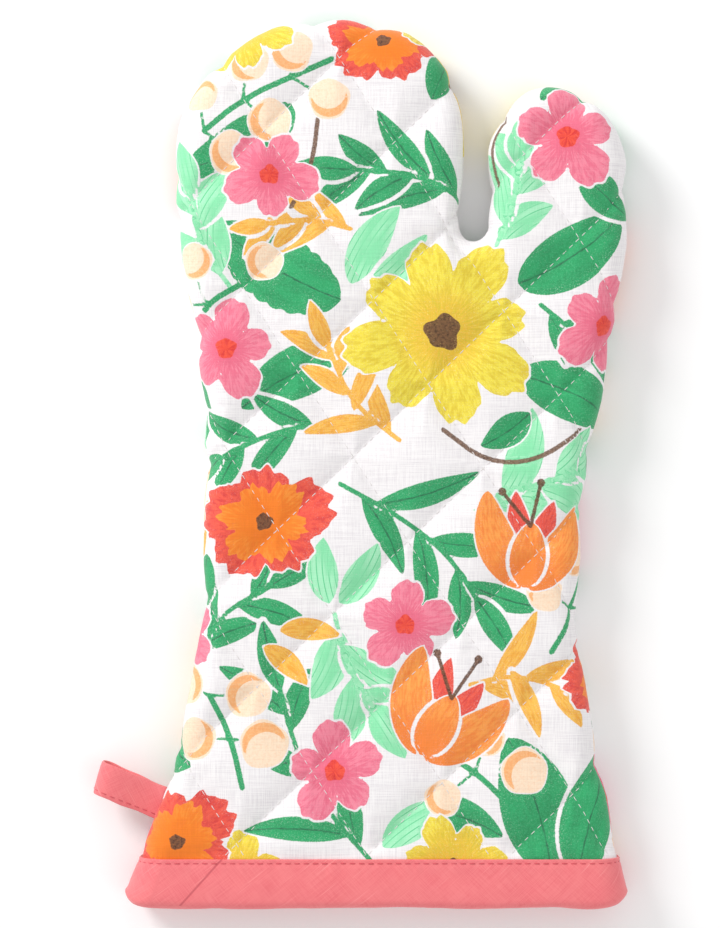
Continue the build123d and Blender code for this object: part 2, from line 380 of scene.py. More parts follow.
def tube_faces(rings, around, closed=False):
    """Faces between rings of points, with a cap at each end unless the tube closes on itself."""
    faces = []
    for i in range(rings if closed else rings - 1):
        a, b = i * around, (i + 1) % rings * around
        for j in range(around):
            after = (j + 1) % around
            faces.append((a + j, a + after, b + after, b + j))
    if not closed:
        faces += [tuple(reversed(range(around))), tuple(range((rings - 1) * around, rings * around))]
    return faces


def add_vectors(obj, name, values):
    """A vector for each point, which the materials read by its name."""
    attribute = obj.data.attributes.new(name, "FLOAT_VECTOR", "POINT")
    attribute.data.foreach_set("vector", np.ascontiguousarray(values, np.float32).ravel())


UNPRINTED = -20.0            # the print's depth, in mm, where there is no ink


def closed_piece(name, plan, place, outer, inner, side, material, vectors=None):
    """A thin closed solid between two surfaces of the plan, over one region."""
    full = plan.faces if side == "front" else plan.faces[:, ::-1]
    chosen = full[plan.region[place]]
    used = np.unique(chosen)
    n = len(used)
    index = np.full(len(plan.p), -1)
    index[used] = np.arange(n)
    f = index[chosen]
    # Walls join the two surfaces along every edge that only one triangle has.
    directed = np.vstack([f[:, [0, 1]], f[:, [1, 2]], f[:, [2, 0]]])
    key = directed[:, 0] * n + directed[:, 1]
    back = directed[:, 1] * n + directed[:, 0]
    rim = directed[~np.isin(key, back)]
    walls = np.stack([rim[:, 1], rim[:, 0], rim[:, 0] + n, rim[:, 1] + n], 1)
    faces = f.tolist() + (f[:, ::-1] + n).tolist() + walls.tolist()
    obj = new_object(name, np.vstack([outer[used], inner[used]]), faces, material)
    add_vectors(obj, "cloth", np.tile(np.column_stack([plan.cloth[used], np.zeros(n)]), (2, 1)))
    for title, values in (vectors or {}).items():
        add_vectors(obj, title, np.vstack([values[used], np.full((n, 3), UNPRINTED)]))
    normals = np.vstack([vertex_normals(outer, full)[used], -vertex_normals(inner, full)[used]])
    obj.data.normals_split_custom_set_from_vertices(normals.tolist())
    return obj


def bend(obj, body, start, end):
    """Bakes the piece's placement into its mesh; it does not bend it. body is not used, and start and end
    only feed results that are thrown away.
    """
    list(start * MM)
    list(end * MM)
    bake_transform(obj)


def fasten(obj, place):
    """A palm piece is parented to the palm's empty; a finger or thumb piece only has its placement baked into
    its mesh.
    """
    if place == "palm":
        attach(obj, "palm")
    elif place == "finger":
        start = np.array([0.0, CROTCH[1] + BEND_GAP])
        bend(obj, "finger", start, start + np.array([0.0, FINGER_BEND]))
    else:
        start = CROTCH + THUMB_OUT * BEND_GAP
        bend(obj, "thumb", start, start + THUMB_OUT * THUMB_BEND)


def stand_in(obj, slot, *nodes):
    """Hides these CAD nodes, which the piece stands for. slot is not used."""
    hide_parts(*nodes)


# ---- Materials ----
class Nodes:
    """One node material, with short helpers that add a node and give back its output."""

    def __init__(self, name):
        self.material = bpy.data.materials.new(name)
        self.material.use_nodes = True
        self.tree = self.material.node_tree
        self.tree.nodes.clear()
        output = self.tree.nodes.new("ShaderNodeOutputMaterial")
        self.shader = self.tree.nodes.new("ShaderNodeBsdfPrincipled")
        self.tree.links.new(self.shader.outputs[0], output.inputs["Surface"])

    def put(self, sockets, values):
        """Links an output into each named or numbered input, or sets the input to a constant."""
        for key, value in values.items():
            if isinstance(value, bpy.types.NodeSocket):
                self.tree.links.new(value, sockets[key])
            elif value is not None:
                sockets[key].default_value = value

    def add(self, kind, output, inputs, **settings):
        """Adds a shader node. Its settings come before its inputs."""
        node = self.tree.nodes.new("ShaderNode" + kind)
        for name, value in settings.items():
            setattr(node, name, value)
        self.put(node.inputs, inputs)
        return node.outputs if output is None else node.outputs[output]

    def attribute(self, name):
        """A vector that the mesh stores under a name."""
        return self.add("Attribute", "Vector", {}, attribute_name=name)

    def split(self, vector):
        """The three parts of a vector."""
        return self.add("SeparateXYZ", None, {0: vector})

    def join(self, x, y, z):
        """A vector from its three parts."""
        return self.add("CombineXYZ", 0, {0: x, 1: y, 2: z})

    def stretch(self, vector, scale):
        """A vector multiplied part by part."""
        return self.add("VectorMath", 0, {0: vector, 1: scale}, operation="MULTIPLY")

    def turn(self, vector, degrees):
        """A vector turned in the plane of the cloth."""
        inputs = {"Vector": vector, "Angle": math.radians(degrees)}
        return self.add("VectorRotate", 0, inputs, rotation_type="Z_AXIS")

    def noise(self, vector, scale=1.0, detail=2.0, rough=0.5):
        """Blender's own noise, from 0 to 1."""
        inputs = {"Vector": vector, "Scale": scale, "Detail": detail, "Roughness": rough}
        return self.add("TexNoise", "Fac", inputs)

    def math(self, operation, a, b=0.0, c=0.0):
        """One operation on up to three numbers."""
        return self.add("Math", 0, {0: a, 1: b, 2: c}, operation=operation)

    def ramp(self, value, low, high, to_low=0.0, to_high=1.0):
        """A smooth step between two values. low may be above high."""
        inputs = {"Value": value, "From Min": low, "From Max": high, "To Min": to_low, "To Max": to_high}
        return self.add("MapRange", "Result", inputs, interpolation_type="SMOOTHSTEP")

    def mix(self, fac, a, b, blend="MIX"):
        """Two colours mixed. The node keeps its colours on sockets 6 and 7, and its result on output 2."""
        return self.add("Mix", 2, {0: fac, 6: a, 7: b}, data_type="RGBA", blend_type=blend)

    def bump(self, height, strength, distance, normal=None):
        """A normal from a height, on top of another one."""
        inputs = {"Height": height, "Strength": strength, "Distance": distance, "Normal": normal}
        return self.add("Bump", 0, inputs)

    def finish(self, color, normal, roughness=0.88, sheen=0.25):
        """Sets the shader, with its constants on its own sockets, and gives back the material."""
        self.put(self.shader.inputs, {
            "Base Color": color,
            "Roughness": roughness,
            "Sheen Weight": sheen,
            "Sheen Roughness": 0.5,
            "Specular IOR Level": 0.25,
            "Normal": normal,
        })
        return self.material


def rgb(r, g, b):
    """A display colour, 0 to 255, as linear RGBA."""
    out = []
    for value in (r, g, b):
        c = value / 255
        out.append(c / 12.92 if c <= 0.04045 else ((c + 0.055) / 1.055) ** 2.4)
    return (*out, 1.0)


def slub_weave(m, cloth):
    """Long thick and thin yarns in both directions. Returns their height, and the weft alone."""
    warp = m.noise(m.stretch(cloth, (3.4, 0.10, 0)), 1.0, 3.0, 0.6)
    weft = m.noise(m.stretch(cloth, (0.07, 3.1, 0)), 1.0, 3.0, 0.6)
    return m.math("ADD", warp, weft), weft


INKS = ["cream", "apricot", "pink", "yellow", "red", "orange", "amber", "mint", "green", "twig", "brown"]
INK_VECTORS = ("ink_a", "ink_b", "ink_c", "ink_d")       # three inks' depths in each


def printed_cloth():
    """White slub cotton with the print's inks on it, in the order of INKS."""
    m = Nodes("printed_cloth")
    cloth = m.attribute("cloth")
    weave, weft = slub_weave(m, cloth)
    depths = [socket for name in INK_VECTORS for socket in m.split(m.attribute(name))]
    depth = dict(zip(INKS, depths))
    u, v, tone = m.split(m.attribute("stroke"))
    ragged = m.math("MULTIPLY_ADD", m.noise(cloth, 1.1, 4.0, 0.7), 1.1, -0.55)
    along = m.join(m.math("MULTIPLY", u, 0.16), m.math("MULTIPLY", v, 0.8), tone)
    brush = m.noise(along, 1.6, 3.0, 0.65)
    grain = m.noise(cloth, 0.9, 5.0, 0.75)
    chalk = m.noise(cloth, 1.7, 5.0, 0.85)
    patch = m.noise(cloth, 0.16, 3.0, 0.6)
    slow = m.join(m.math("MULTIPLY", u, 0.05), m.math("MULTIPLY", v, 0.18), tone)
    pool = m.noise(slow, 1.2, 1.0, 0.5)
    # Lines across a mint leaf, and the middle line of a green one.
    veins = m.math("ABSOLUTE", m.math("SINE", m.math("MULTIPLY", v, 1.45)))
    veins = m.ramp(veins, 0.40, 0.10)
    wander = m.math("MULTIPLY", m.ramp(brush, 0.2, 0.8), 0.35)
    midrib = m.ramp(m.math("ADD", m.math("ABSOLUTE", v), wander), 0.62, 0.30)
    streak = m.ramp(brush, 0.38, 0.66)
    soft = m.ramp(grain, 0.42, 0.66)
    wash = m.ramp(pool, 0.35, 0.65)
    reach = m.math("MULTIPLY_ADD", brush, -26.0, m.math("ADD", u, 13.0))

    def cover(distance):
        """How much ink lies here: ragged at the edge, and worn off in dry specks."""
        edge = m.math("ADD", distance, m.math("MULTIPLY", ragged, 0.6))
        solid = m.ramp(edge, -0.12, 0.22)
        bare = m.math("ADD", m.ramp(distance, 4.0, 0.2, 0.06, 0.5), m.ramp(patch, 0.5, 0.7, 0.0, 0.22))
        worn = m.math("MULTIPLY", m.ramp(chalk, 0.53, 0.66), bare)
        return m.math("MULTIPLY", solid, m.math("SUBTRACT", 1.0, worn))

    pink = m.mix(m.ramp(reach, 12.0, 4.0), rgb(243, 134, 156), rgb(228, 90, 120))
    yellow = m.mix(m.ramp(reach, 8.0, 22.0), rgb(240, 188, 44), rgb(240, 222, 62))
    yellow = m.mix(m.ramp(chalk, 0.52, 0.64, 0.0, 0.6), yellow, rgb(248, 240, 150))
    orange = m.mix(m.ramp(reach, 6.0, 24.0), rgb(242, 128, 32), rgb(252, 160, 66))
    mint = m.mix(veins, rgb(164, 236, 190), rgb(84, 200, 136))
    green = m.mix(wash, rgb(10, 160, 92), rgb(4, 142, 80))
    green = m.mix(m.math("MULTIPLY", soft, 0.5), green, rgb(48, 184, 120))
    green = m.mix(m.ramp(chalk, 0.50, 0.62, 0.0, 0.35), green, rgb(76, 196, 138))
    green = m.mix(m.ramp(chalk, 0.46, 0.36, 0.0, 0.6), green, rgb(8, 130, 76))
    green = m.mix(midrib, green, rgb(6, 108, 68))
    dense = 0.97
    # Each ink: its two colours, the pattern that mixes them, and how opaque it is.
    paints = {
        "cream": (rgb(252, 226, 196), rgb(250, 212, 176), soft, 0.92),
        "apricot": (rgb(245, 166, 96), rgb(249, 190, 130), soft, 0.9),
        "pink": (pink, rgb(234, 108, 136), streak, dense),
        "yellow": (yellow, rgb(222, 196, 36), streak, dense),
        "red": (rgb(240, 86, 62), rgb(216, 56, 50), streak, dense),
        "orange": (orange, rgb(244, 130, 42), streak, dense),
        "amber": (rgb(246, 190, 76), rgb(236, 162, 40), streak, dense),
        "mint": (mint, rgb(132, 224, 168), wash, dense),
        "green": (green, rgb(30, 172, 104), m.math("MULTIPLY", streak, 0.4), dense),
        "twig": (rgb(134, 104, 84), rgb(86, 60, 48), soft, dense),
        "brown": (rgb(120, 84, 60), rgb(66, 44, 40), soft, dense),
    }
    color = m.mix(m.ramp(weave, 0.85, 1.25), rgb(243, 240, 240), rgb(235, 231, 233))
    color = m.mix(m.ramp(weft, 0.62, 0.78), color, rgb(227, 223, 226))
    for name, (light, dark, pattern, opaque) in paints.items():
        paint = m.mix(pattern, light, dark)
        color = m.mix(m.math("MULTIPLY", cover(depth[name]), opaque), color, paint)
    # The yarns show through the ink a little.
    yarn = m.mix(m.ramp(weave, 0.8, 1.3), (1, 1, 1, 1), (0.90, 0.89, 0.90, 1))
    color = m.mix(1.0, color, yarn, "MULTIPLY")
    speck = m.ramp(m.noise(m.stretch(cloth, (0.5, 3.4, 0)), 1.0, 2.0, 0.5), 0.72, 0.82)
    color = m.mix(m.math("MULTIPLY", speck, 0.35), color, rgb(250, 246, 247))
    normal = m.bump(weave, 0.35, 0.00035)
    normal = m.bump(m.noise(cloth, 5.0, 2.0, 0.6), 0.15, 0.00015, normal)
    return m.finish(color, normal)


def bias_cloth():
    """Coral cotton. Its yarns run on the bias, and a join crosses it."""
    m = Nodes("bias_cloth")
    place = m.split(m.attribute("cloth"))
    straight = m.join(place[0], place[1], 0.0)
    cloth = m.turn(straight, 45)
    weave, _ = slub_weave(m, cloth)
    tint = m.noise(straight, 0.12, 3.0, 0.6)
    slub = m.noise(m.stretch(cloth, (0.04, 1.5, 0)), 1.0, 2.0, 0.5)
    join = m.ramp(m.math("ABSOLUTE", place[2]), 0.55, 0.15)
    color = m.mix(m.ramp(weave, 0.82, 1.22), rgb(238, 126, 130), rgb(230, 110, 116))
    color = m.mix(m.math("MULTIPLY", m.ramp(tint, 0.3, 0.7), 0.35), color, rgb(244, 138, 138))
    color = m.mix(m.math("MULTIPLY", m.ramp(slub, 0.64, 0.72), 0.5), color, rgb(248, 158, 156))
    color = m.mix(m.math("MULTIPLY", join, 0.55), color, rgb(176, 62, 74))
    normal = m.bump(weave, 0.3, 0.0003)
    normal = m.bump(m.noise(cloth, 5.0, 2.0, 0.6), 0.25, 0.00018, normal)
    normal = m.bump(join, -0.8, 0.0005, normal)
    return m.finish(color, normal)


def plain_cloth(name, light, dark):
    """Undyed cotton for the lining."""
    m = Nodes(name)
    cloth = m.attribute("cloth")
    weave, _ = slub_weave(m, cloth)
    color = m.mix(m.ramp(weave, 0.8, 1.25), light, dark)
    stain = m.noise(cloth, 0.05, 3.0, 0.6)
    color = m.mix(m.math("MULTIPLY", m.ramp(stain, 0.45, 0.7), 0.25), color, dark)
    return m.finish(color, m.bump(weave, 0.4, 0.0003))


def wadding():
    """Loose off-white fibre."""
    m = Nodes("wadding")
    cloth = m.attribute("cloth")
    fluff = m.noise(cloth, 0.5, 6.0, 0.8)
    color = m.mix(m.ramp(fluff, 0.35, 0.65), rgb(240, 237, 228), rgb(222, 217, 204))
    return m.finish(color, m.bump(fluff, 0.8, 0.0012), 0.95, 0.4)


def thread(name, light, dark):
    """Two plies twisted together."""
    m = Nodes(name)
    cloth = m.attribute("cloth")
    twist = m.noise(m.stretch(m.turn(cloth, 30), (4.0, 1.2, 4.0)), 1.0, 1.0, 0.5)
    color = m.mix(m.ramp(twist, 0.4, 0.6), light, dark)
    return m.finish(color, m.bump(twist, 0.5, 0.00015), 0.7, 0.3)


# ---- The printed motifs ----
SAME_INK_GAP = 1.4           # between shapes of one ink, where one lies over the other
STROKE_REACH = 3.0           # a shape's brush strokes count this far outside it


class Print:
    """Distance into each ink's shapes, in mm, at every point of a cloth."""

    def __init__(self, points):
        self.p = points
        self.depth = {ink: np.full(len(points), UNPRINTED) for ink in INKS}
        self.best = np.full(len(points), -STROKE_REACH)
        self.local = np.zeros((len(points), 3))
        self.shapes = 0

    def near(self, centre, reach):
        """The points in a square about a centre."""
        return np.nonzero((np.abs(self.p - np.asarray(centre)) < reach).all(1))[0]

    def lay(self, ink, index, depth, u, v, gap=0.5):
        """Adds a shape on top of what is there, with a thin unprinted gap round it, or none.

        u and v are places along and across its brush strokes. A shape off the cloth isn't counted.
        """
        if not len(index):
            return
        if gap is not None:
            for other in INKS:
                margin = max(gap, SAME_INK_GAP) if other == ink else gap
                self.depth[other][index] = np.minimum(self.depth[other][index], -depth - margin)
        self.depth[ink][index] = np.maximum(self.depth[ink][index], depth)
        self.shapes += 1
        wins = (depth > -0.7) | (depth > self.best[index])
        chosen = index[wins]
        self.local[chosen, 0] = u[wins]
        self.local[chosen, 1] = v[wins]
        self.local[chosen, 2] = self.shapes * 3.7
        self.best[chosen] = depth[wins]

    def leaf(self, ink, base, tip, width, bend=0.1, blunt=0.8, saw=0.0):
        """A pointed leaf along a curved midrib."""
        a, b = np.array(base, float), np.array(tip, float)
        chord = b - a
        length = float(np.linalg.norm(chord))
        control = (a + b) / 2 + bend * np.array([-chord[1], chord[0]])
        index = self.near((a + b) / 2, length * (0.55 + abs(bend)) + width)
        q = self.p[index]
        t = np.linspace(0, 1, 19)[:, None]
        rib = (1 - t) ** 2 * a + 2 * t * (1 - t) * control + t * t * b
        best = np.full(len(q), 1e9)
        at = np.zeros(len(q))
        side = np.zeros(len(q))
        for k in range(len(rib) - 1):
            s = rib[k + 1] - rib[k]
            f = np.clip(((q - rib[k]) @ s) / (s @ s), 0, 1)
            gap = q - rib[k] - f[:, None] * s
            d = np.hypot(gap[:, 0], gap[:, 1])
            nearer = d < best
            best = np.where(nearer, d, best)
            at = np.where(nearer, (k + f) / (len(rib) - 1), at)
            side = np.where(nearer, np.sign(s[0] * gap[:, 1] - s[1] * gap[:, 0]), side)
        half = width / 2 * np.sin(math.pi * np.clip(at, 0, 1) ** 0.85) ** blunt
        half = half * (1 + saw * np.abs(np.sin(at * length * 0.55))) + 0.25
        self.lay(ink, index, half - best, at * length, side * best)

    def line(self, ink, points, width):
        """A line of even width, with its corners cut twice."""
        points = [np.array(p, float) for p in points]
        for _ in range(2):
            cut = [q for a, b in zip(points, points[1:]) for q in (a + (b - a) / 4, b - (b - a) / 4)]
            points = [points[0], *cut, points[-1]]
        for a, b in zip(points, points[1:]):
            index = self.near((a + b) / 2, np.linalg.norm(b - a) / 2 + width + 2)
            q = self.p[index]
            f = np.clip(((q - a) @ (b - a)) / ((b - a) @ (b - a)), 0, 1)
            d = np.linalg.norm(q - a - f[:, None] * (b - a), axis=1)
            self.lay(ink, index, width / 2 - d, f * 20, 1 + d, None)

    def around(self, centre, reach, squash=1.0):
        """The points near a centre, with their places, distances and angles from it."""
        index = self.near(centre, reach)
        q = (self.p[index] - np.array(centre, float)) * np.array([1.0, 1.0 / squash])
        return index, q, np.hypot(q[:, 0], q[:, 1]), np.arctan2(q[:, 1], q[:, 0])

    def disc(self, ink, centre, radius, wobble=0.06, gap=None):
        """A round spot, a little uneven."""
        index, _, rho, theta = self.around(centre, radius + 3)
        edge = radius * (1 + wobble * np.sin(3 * theta + centre[0]) + wobble * np.sin(5 * theta))
        self.lay(ink, index, edge - rho, rho, 6 * theta / math.pi, gap)

    def crescent(self, ink, centre, radius, toward):
        """The part of a disc that a second one, moved the other way, leaves free."""
        index, q, rho, _ = self.around(centre, radius + 2)
        outer = radius - rho
        shifted = q - np.array(heading(toward + 180)) * radius * 0.38
        inner = np.hypot(shifted[:, 0], shifted[:, 1]) - radius * 0.92
        self.lay(ink, index, np.minimum(outer, inner), outer, outer / radius, None)

    def flower(self, ink, centre, radius, petals, turn, notch=0.5, frill=0.0, squash=1.0, gap=0.6):
        """Petals round a centre: notch is the depth between them, frill the unevenness of their edge."""
        index, _, rho, theta = self.around(centre, radius * 1.25 + 3, squash)
        phase = petals * (theta - math.radians(turn)) / 2
        place = phase / math.pi + 0.5
        number = np.floor(place)
        lobe = notch + (1 - notch) * np.abs(np.cos(phase)) ** 0.45
        lobe = lobe * (1 + 0.10 * np.sin(number * 2.4 + centre[0]))
        edge = radius * lobe * (1 + frill * np.sin(phase * 7) + frill * 0.7 * np.sin(phase * 11 + 1))
        self.lay(ink, index, (edge - rho) * 0.85, rho, 6 * (2 * (place % 1.0) - 1) + 14 * number, gap)

    def blossom(self, centre, radius, turn):
        """A pink flower with a red eye."""
        self.flower("pink", centre, radius, 5, turn, 0.42, 0.02)
        self.disc("red", centre, radius * 0.21, 0.08)

    def daisy(self, centre, radius, turn, petals=7):
        """A yellow flower with a brown eye."""
        self.flower("yellow", centre, radius, petals, turn, 0.52, 0.022)
        self.disc("brown", centre, radius * 0.19, 0.10)

    def poppy(self, centre, radius, turn, squash=0.85):
        """A red flower seen at a slant, with an orange one in it."""
        self.flower("red", centre, radius, 5, turn, 0.70, 0.045, squash)
        self.flower("orange", centre, radius * 0.70, 6, turn + 30, 0.62, 0.06, squash, None)
        self.disc("brown", centre, radius * 0.13, 0.10)

    def tulip(self, base, reach, turn):
        """A cup of outer petals, with inner ones behind them and stamens."""
        def out(angle, share):
            """A point at an angle from the tulip's direction, at a share of its reach."""
            return tuple(np.array(base) + heading(turn + angle) * reach * share)

        self.leaf("red", out(0, 0.25), out(11, 0.98), reach * 0.24, 0.06)
        self.leaf("red", out(0, 0.25), out(-13, 0.92), reach * 0.24, -0.06)
        self.leaf("orange", base, out(27, 1.05), reach * 0.40, 0.20, 0.65)
        self.leaf("orange", base, out(-30, 1.0), reach * 0.40, -0.20, 0.65)
        self.leaf("orange", base, out(-1, 0.66), reach * 0.36, 0.0, 0.6)
        for angle, share in ((19, 1.0), (-3, 1.08)):
            self.line("brown", [out(0, 0.62), out(angle, share)], 1.5)
            self.disc("brown", out(angle, share), 1.6, 0.0)

    def berries(self, stem, places, radius):
        """A stem with side twigs that end at round berries."""
        stem = [np.array(p, float) for p in stem]
        for place in places:
            near = min(stem, key=lambda p: np.linalg.norm(p - np.array(place)))
            self.line("green", [near, near + (np.array(place) - near) * 0.75], 1.2)
        self.line("green", stem, 2.2)
        for number, place in enumerate(places):
            size = radius * (1 + 0.12 * math.sin(2.3 * number + place[0]))
            self.disc("cream", place, size, 0.03, 0.3)
            self.crescent("apricot", place, size * 0.90, place[0] * 7 + 41 * number)

    def spray(self, ink, stem, reach, width, pairs, bend=0.10):
        """Narrow leaves in pairs along a stem, and one at its end."""
        stem = [np.array(p, float) for p in stem]
        for number in range(pairs):
            place = (len(stem) - 1) * (number + 0.5) / pairs
            k = min(int(place), len(stem) - 2)
            along = stem[k + 1] - stem[k]
            root = stem[k] + along * (place - k)
            way = math.degrees(math.atan2(along[1], along[0]))
            for side in (-1, 1):
                swing = 40 + 7 * math.sin(number * 2.7 + side)
                long = reach * (1 - 0.30 * number / pairs) * (1 + 0.12 * math.sin(number * 3.1 + side))
                start = root + along / np.linalg.norm(along) * 3 * side
                self.leaf(ink, start, start + heading(way + side * swing) * long, width, -bend * side)
        last = stem[-1] - stem[-2]
        self.leaf(ink, stem[-1], stem[-1] + last / np.linalg.norm(last) * reach * 0.75, width, 0.05)
        self.line(ink, stem, 1.8)

    def vectors(self):
        """The print as vectors, under the names that the cloth's material reads."""
        column = [self.depth[ink] for ink in INKS]
        column.append(np.full(len(self.p), UNPRINTED))
        found = {name: np.column_stack(column[3 * k : 3 * k + 3]) for k, name in enumerate(INK_VECTORS)}
        found["stroke"] = self.local
        return found


REPEAT = np.array([200.0, 320.0])   # the print's repeat; every second column drops by half


def shifted(value, move):
    """A point or a list of points, moved. Anything else stays."""
    if isinstance(value, tuple):
        return (value[0] + move[0], value[1] + move[1])
    if isinstance(value, list):
        return [shifted(v, move) for v in value]
    return value


class Cut:
    """One copy of the repeat, moved to its place on a cloth."""

    def __init__(self, cloth, move):
        self.cloth = cloth
        self.move = move

    def __getattr__(self, motif):
        """Any motif of the print, at the copy's place."""
        def moved(*given):
            return getattr(self.cloth, motif)(*[shifted(g, self.move) for g in given])
        return moved


def floral(points):
    """A plain tossed floral, printed in repeat over a cloth."""
    cloth = Print(points)
    for column in (-1, 0, 1):
        for row in (-1, 0, 1):
            drop = 0.5 * REPEAT[1] * (column % 2)
            posy(Cut(cloth, (column * REPEAT[0], row * REPEAT[1] + drop)))
    return cloth.vectors()


def posy(p):
    """The motifs of one repeat. Later ones lie over earlier ones."""
    p.leaf("green", (-8, 60), (-54, 88), 24, 0.10, 0.6, 0.10)
    p.leaf("green", (-2, 40), (-44, 20), 19, -0.14, 0.62)
    p.leaf("green", (58, 66), (97, 92), 21, -0.12, 0.6)
    p.leaf("green", (58, 32), (99, 12), 20, 0.12, 0.6)
    p.leaf("green", (70, -152), (54, -102), 27, -0.10, 0.6)
    p.leaf("green", (80, -152), (98, -106), 22, 0.12, 0.6)
    p.leaf("green", (-26, 132), (-66, 108), 19, 0.18, 0.6)
    p.leaf("green", (26, 134), (44, 160), 15, 0.1)
    p.leaf("green", (-62, 30), (-78, -2), 17, 0.1)
    p.leaf("green", (66, 134), (98, 148), 14, 0.14)
    p.leaf("green", (80, 108), (104, 90), 13, -0.12)
    p.leaf("green", (-64, -112), (-90, -88), 17, 0.12)
    p.leaf("green", (20, -128), (52, -138), 14, 0.12)
    p.spray("green", [(-66, -76), (-52, -56), (-34, -46)], 31, 8.6, 2)
    p.spray("green", [(-8, -8), (14, -20), (32, -34), (42, -50)], 36, 8.8, 3)
    p.spray("green", [(6, -150), (-12, -130), (-24, -108), (-30, -84)], 35, 8.8, 3)
    p.spray("green", [(-12, 14), (-30, 12), (-52, 2)], 28, 8.2, 2)
    p.spray("green", [(40, 96), (22, 106), (-2, 108)], 31, 8.4, 3)
    p.spray("green", [(66, 58), (78, 48), (94, 44)], 22, 7.0, 2)
    p.spray("mint", [(42, -18), (58, -10), (80, -4)], 31, 13, 2, 0.16)
    p.spray("mint", [(-48, 64), (-60, 80), (-64, 98)], 28, 12, 2, 0.16)
    p.spray("mint", [(48, 76), (56, 94), (58, 110)], 26, 10.5, 2, 0.16)
    p.spray("mint", [(-10, -56), (-6, -74), (4, -90)], 30, 12.5, 2, 0.16)
    p.spray("amber", [(-66, -48), (-70, -28), (-72, -10)], 25, 6.4, 3)
    p.spray("amber", [(14, 8), (-4, 22), (-12, 42)], 25, 6.4, 3)
    p.spray("amber", [(40, -82), (58, -78), (80, -86)], 27, 6.6, 3)
    p.spray("amber", [(-4, 86), (-18, 90), (-34, 88)], 20, 5.6, 3)
    p.leaf("mint", (-4, 66), (14, 94), 13, 0.12)
    p.leaf("mint", (2, 62), (24, 84), 11, -0.10)
    p.leaf("mint", (-8, -52), (6, -30), 11, -0.12)
    p.leaf("mint", (-12, -52), (-14, -28), 11, 0.12)
    p.leaf("mint", (8, -142), (34, -126), 12, 0.12)
    p.leaf("amber", (-30, -62), (-8, -64), 8, 0.12)
    p.leaf("amber", (-36, -68), (-20, -82), 8, 0.10)
    p.leaf("green", (-58, -34), (-70, -56), 12, 0.12)
    p.leaf("green", (62, 18), (44, 6), 11, 0.10)
    p.line("twig", [(30, 12), (46, 0), (64, 0), (82, 12)], 1.8)
    p.line("twig", [(-26, 94), (-18, 110), (-16, 128)], 1.8)
    p.line("twig", [(50, 130), (46, 116), (48, 102)], 1.8)
    p.berries([(-66, 44), (-58, 58), (-44, 66)], [(-72, 58), (-62, 74), (-36, 74)], 6.8)
    p.berries([(-4, 152), (-26, 142), (-44, 134), (-58, 122)],
              [(-12, 134), (-26, 152), (-34, 126), (-42, 148), (-60, 136), (-48, 114)], 7.2)
    p.berries([(70, -70), (80, -54), (88, -36)], [(68, -48), (80, -34), (94, -54), (96, -30)], 8.0)
    p.berries([(-44, -120), (-48, -102), (-56, -86)],
              [(-36, -104), (-62, -102), (-42, -86), (-66, -82)], 8.0)
    p.berries([(30, -108), (42, -114), (56, -128)], [(30, -124), (46, -102), (60, -114)], 7.6)
    p.poppy((-36, -22), 24, 20, 0.9)
    p.poppy((98, -80), 22, 50, 0.9)
    p.poppy((8, 156), 21, 10, 0.8)
    p.poppy((-68, -140), 22, 40, 0.9)
    p.daisy((30, 48), 34, 12, 8)
    p.daisy((-46, 164), 20, 30, 7)
    p.daisy((34, -150), 19, 10, 7)
    p.blossom((-50, 42), 18, 80)
    p.blossom((76, 120), 19, 90)
    p.blossom((-34, 106), 17, 60)
    p.blossom((-10, -114), 18, 95)
    p.blossom((90, 50), 18, 70)
    p.blossom((16, -60), 17, 85)
    p.blossom((-70, -64), 15, 40)
    p.tulip((22, -108), 38, 62)
    p.tulip((60, -46), 36, 84)


FABRIC = {
    "cloth": printed_cloth(),
    "binding": bias_cloth(),
    "lining": plain_cloth("lining_cloth", rgb(244, 240, 234), rgb(228, 222, 214)),
    "batting": wadding(),
    "thread": thread("white_thread", rgb(238, 234, 232), rgb(208, 203, 202)),
    "binding_thread": thread("coral_thread", rgb(222, 92, 100), rgb(196, 70, 82)),
}

# ---- Panels ----
fine_plan = Plan(1.15, 12)
coarse_plan = Plan(2.6, 6)
BACK_SHIFT = np.array([64.0, -92.0])     # the back panel is cut from another place of the print
SLACK = 0.25                             # between the batting and the cloths

for side in SIDES:
    printed = fine_plan.cloth
    if side == "back":
        printed = printed * np.array([-1.0, 1.0]) + BACK_SHIFT
    layers = {
        "cloth": (fine_plan, layer(fine_plan, side, 0.0), layer(fine_plan, side, CLOTH)),
        "batting": (
            coarse_plan,
            layer(coarse_plan, side, CLOTH + SLACK, 0.95),
            layer(coarse_plan, side, BATTING_DEPTH - SLACK, -0.10),
        ),
        "lining": (
            coarse_plan,
            layer(coarse_plan, side, BATTING_DEPTH, -0.10),
            layer(coarse_plan, side, LINING_DEPTH, -0.12),
        ),
    }
    inks = floral(printed)
    for place in PLACES:
        for kind, (plan, outer, inner) in layers.items():
            node = f"{place}_{side}_{kind}"
            vectors = inks if kind == "cloth" else None
            obj = closed_piece(node + "_soft", plan, place, outer, inner, side, FABRIC[kind], vectors)
            fasten(obj, place)
            stand_in(obj, "printed_cloth" if kind == "cloth" else kind, node)


# ---- Stitches ----
def lift_points(p, side, raise_by):
    """Points on the outer cloth above or below plan points."""
    distance, nearest = edge_distance(p)
    near = distance < EDGE_RADIUS
    angle = np.arccos(np.clip(1 - distance / EDGE_RADIUS, -1, 1))
    angle = np.where(near, angle, math.pi / 2)
    seam = np.where(near, EDGE_RADIUS * angle + SIDE_BAND, distance + PLAN_TO_ARC)
    h = swell(p, seam, SEEDS[side]) + raise_by
    n = -EDGE_N[nearest] * np.cos(angle)[:, None]
    xy = p + n * h[:, None]
    z = SIDE_BAND + EDGE_RADIUS * np.sin(angle) + h * np.sin(angle)
    z = np.maximum(MID + SIDES[side] * z, STITCH_FLOOR)
    return np.column_stack([xy, z])


STITCH_SECTION = 6
